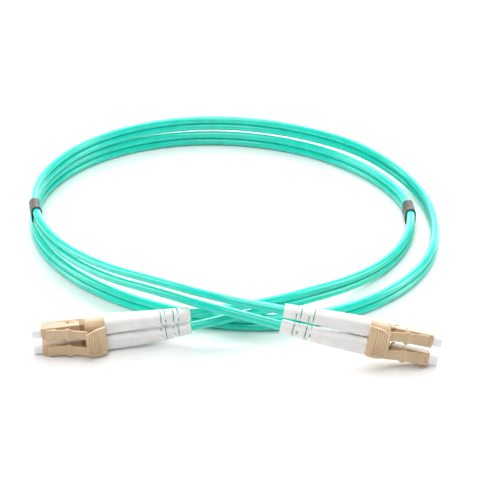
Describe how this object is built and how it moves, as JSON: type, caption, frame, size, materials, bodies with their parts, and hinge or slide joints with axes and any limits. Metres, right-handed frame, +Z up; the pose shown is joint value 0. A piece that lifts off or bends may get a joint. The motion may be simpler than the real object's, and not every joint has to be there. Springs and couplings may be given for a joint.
{
  "type": "fiber optic patch cord",
  "caption": "Duplex fibre optic patch cord, an aqua figure-eight cord coiled twice, with latching small-form plugs, white boots and dust caps at both ends.",
  "frame": {"origin": "on the table, below the middle of the box round the two connectors", "axes": "+X from the left connector to the right one, +Y from the connectors to the far side of the coil, +Z up"},
  "size_m": [0.1535, 0.1706, 0.0207],
  "materials": {
    "tan_plastic": "moulded, satin",
    "tan_plastic_inner": "moulded, satin",
    "zirconia": "polished ceramic",
    "nickel_brass": "nickel plated",
    "spring_steel": "drawn wire",
    "crimp_brass": "nickel plated",
    "aramid": "loose yarn",
    "white_boot": "moulded, soft satin",
    "white_cap": "moulded, translucent white",
    "aqua_jacket": "extruded, satin",
    "fibre_buffer": "extruded buffer",
    "dark_sleeve": "shrunk tube"
  },
  "bodies": {
    "root": {"left_duplex_clip": "tan_plastic", "left_upper_plug_housing": "tan_plastic", "left_upper_rear_body": "tan_plastic_inner", "left_upper_spring": "spring_steel", "left_upper_crimp_sleeve": "crimp_brass", "left_upper_gripped_yarn": "aramid", "left_upper_boot": "white_boot", "left_lower_plug_housing": "tan_plastic", "left_lower_rear_body": "tan_plastic_inner", "left_lower_spring": "spring_steel", "left_lower_crimp_sleeve": "crimp_brass", "left_lower_gripped_yarn": "aramid", "left_lower_boot": "white_boot", "right_duplex_clip": "tan_plastic", "right_upper_plug_housing": "tan_plastic", "right_upper_rear_body": "tan_plastic_inner", "right_upper_spring": "spring_steel", "right_upper_crimp_sleeve": "crimp_brass", "right_upper_gripped_yarn": "aramid", "right_upper_boot": "white_boot", "right_lower_plug_housing": "tan_plastic", "right_lower_rear_body": "tan_plastic_inner", "right_lower_spring": "spring_steel", "right_lower_crimp_sleeve": "crimp_brass", "right_lower_gripped_yarn": "aramid", "right_lower_boot": "white_boot", "upper_cord_jacket": "aqua_jacket", "lower_cord_jacket": "aqua_jacket", "upper_aramid_yarn": "aramid", "lower_aramid_yarn": "aramid", "upper_fibre": "fibre_buffer", "lower_fibre": "fibre_buffer", "left_split_sleeve": "dark_sleeve", "right_split_sleeve": "dark_sleeve"},
    "left_trigger": {"left_trigger": "tan_plastic"},
    "left_upper_ferrule": {"left_upper_ferrule": "zirconia", "left_upper_ferrule_flange": "nickel_brass"},
    "left_upper_latch": {"left_upper_latch_arm": "tan_plastic"},
    "left_upper_cap": {"left_upper_dust_cap": "white_cap"},
    "left_lower_ferrule": {"left_lower_ferrule": "zirconia", "left_lower_ferrule_flange": "nickel_brass"},
    "left_lower_latch": {"left_lower_latch_arm": "tan_plastic"},
    "left_lower_cap": {"left_lower_dust_cap": "white_cap"},
    "right_trigger": {"right_trigger": "tan_plastic"},
    "right_upper_ferrule": {"right_upper_ferrule": "zirconia", "right_upper_ferrule_flange": "nickel_brass"},
    "right_upper_latch": {"right_upper_latch_arm": "tan_plastic"},
    "right_upper_cap": {"right_upper_dust_cap": "white_cap"},
    "right_lower_ferrule": {"right_lower_ferrule": "zirconia", "right_lower_ferrule_flange": "nickel_brass"},
    "right_lower_latch": {"right_lower_latch_arm": "tan_plastic"},
    "right_lower_cap": {"right_lower_dust_cap": "white_cap"}
  },
  "joints": [
    {"name": "left_trigger_press", "type": "hinge", "parent": "root", "child": "left_trigger", "pos_m": [-0.04332, 0.00057, 0.00622], "axis": [0.0431, 0.0064, -0.999], "range_deg": [0, 13], "stiffness_Nm_per_rad": 0.00006, "springref_deg": -6.88},
    {"name": "left_upper_ferrule_float", "type": "slide", "parent": "root", "child": "left_upper_ferrule", "axis": [0.9881, 0.1477, 0.0436], "range_m": [0, 0.001], "stiffness_N_per_m": 4, "springref_m": -0.001, "deforming": ["left_upper_spring"]},
    {"name": "left_upper_latch_flex", "type": "hinge", "parent": "root", "child": "left_upper_latch", "pos_m": [-0.05928, -0.00061, 0.00865], "axis": [-0.0431, -0.0064, 0.999], "range_deg": [0, 8.4], "stiffness_Nm_per_rad": 0.00004, "springref_deg": -5.73},
    {"name": "left_upper_cap_pull", "type": "slide", "parent": "root", "child": "left_upper_cap", "axis": [-0.9881, -0.1477, -0.0436], "range_m": [0, 0.009]},
    {"name": "left_lower_ferrule_float", "type": "slide", "parent": "root", "child": "left_lower_ferrule", "axis": [0.9881, 0.1477, 0.0436], "range_m": [0, 0.001], "stiffness_N_per_m": 4, "springref_m": -0.001, "deforming": ["left_lower_spring"]},
    {"name": "left_lower_latch_flex", "type": "hinge", "parent": "root", "child": "left_lower_latch", "pos_m": [-0.05902, -0.00057, 0.00241], "axis": [-0.0431, -0.0064, 0.999], "range_deg": [0, 8.4], "stiffness_Nm_per_rad": 0.00004, "springref_deg": -5.73},
    {"name": "left_lower_cap_pull", "type": "slide", "parent": "root", "child": "left_lower_cap", "axis": [-0.9881, -0.1477, -0.0436], "range_m": [0, 0.009]},
    {"name": "right_trigger_press", "type": "hinge", "parent": "root", "child": "right_trigger", "pos_m": [0.04308, -0.00678, 0.01053], "axis": [0.1985, 0.2593, 0.9452], "range_deg": [0, 13], "stiffness_Nm_per_rad": 0.00006, "springref_deg": -6.88},
    {"name": "right_upper_ferrule_float", "type": "slide", "parent": "root", "child": "right_upper_ferrule", "axis": [-0.9795, 0.0857, 0.1822], "range_m": [0, 0.001], "stiffness_N_per_m": 4, "springref_m": -0.001, "deforming": ["right_upper_spring"]},
    {"name": "right_upper_latch_flex", "type": "hinge", "parent": "root", "child": "right_upper_latch", "pos_m": [0.05925, -0.00619, 0.01027], "axis": [-0.1985, -0.2593, -0.9452], "range_deg": [0, 8.4], "stiffness_Nm_per_rad": 0.00004, "springref_deg": -5.73},
    {"name": "right_upper_cap_pull", "type": "slide", "parent": "root", "child": "right_upper_cap", "axis": [0.9795, -0.0857, -0.1822], "range_m": [0, 0.009]},
    {"name": "right_lower_ferrule_float", "type": "slide", "parent": "root", "child": "right_lower_ferrule", "axis": [-0.9795, 0.0857, 0.1822], "range_m": [0, 0.001], "stiffness_N_per_m": 4, "springref_m": -0.001, "deforming": ["right_lower_spring"]},
    {"name": "right_lower_latch_flex", "type": "hinge", "parent": "root", "child": "right_lower_latch", "pos_m": [0.05801, -0.00781, 0.00437], "axis": [-0.1985, -0.2593, -0.9452], "range_deg": [0, 8.4], "stiffness_Nm_per_rad": 0.00004, "springref_deg": -5.73},
    {"name": "right_lower_cap_pull", "type": "slide", "parent": "root", "child": "right_lower_cap", "axis": [0.9795, -0.0857, -0.1822], "range_m": [0, 0.009]}
  ],
  "couplings": [
    {"joint": "left_upper_latch_flex", "follows": "left_trigger_press", "ratio": 0.64},
    {"joint": "left_lower_latch_flex", "follows": "left_trigger_press", "ratio": 0.64},
    {"joint": "right_upper_latch_flex", "follows": "right_trigger_press", "ratio": 0.64},
    {"joint": "right_lower_latch_flex", "follows": "right_trigger_press", "ratio": 0.64}
  ]
}
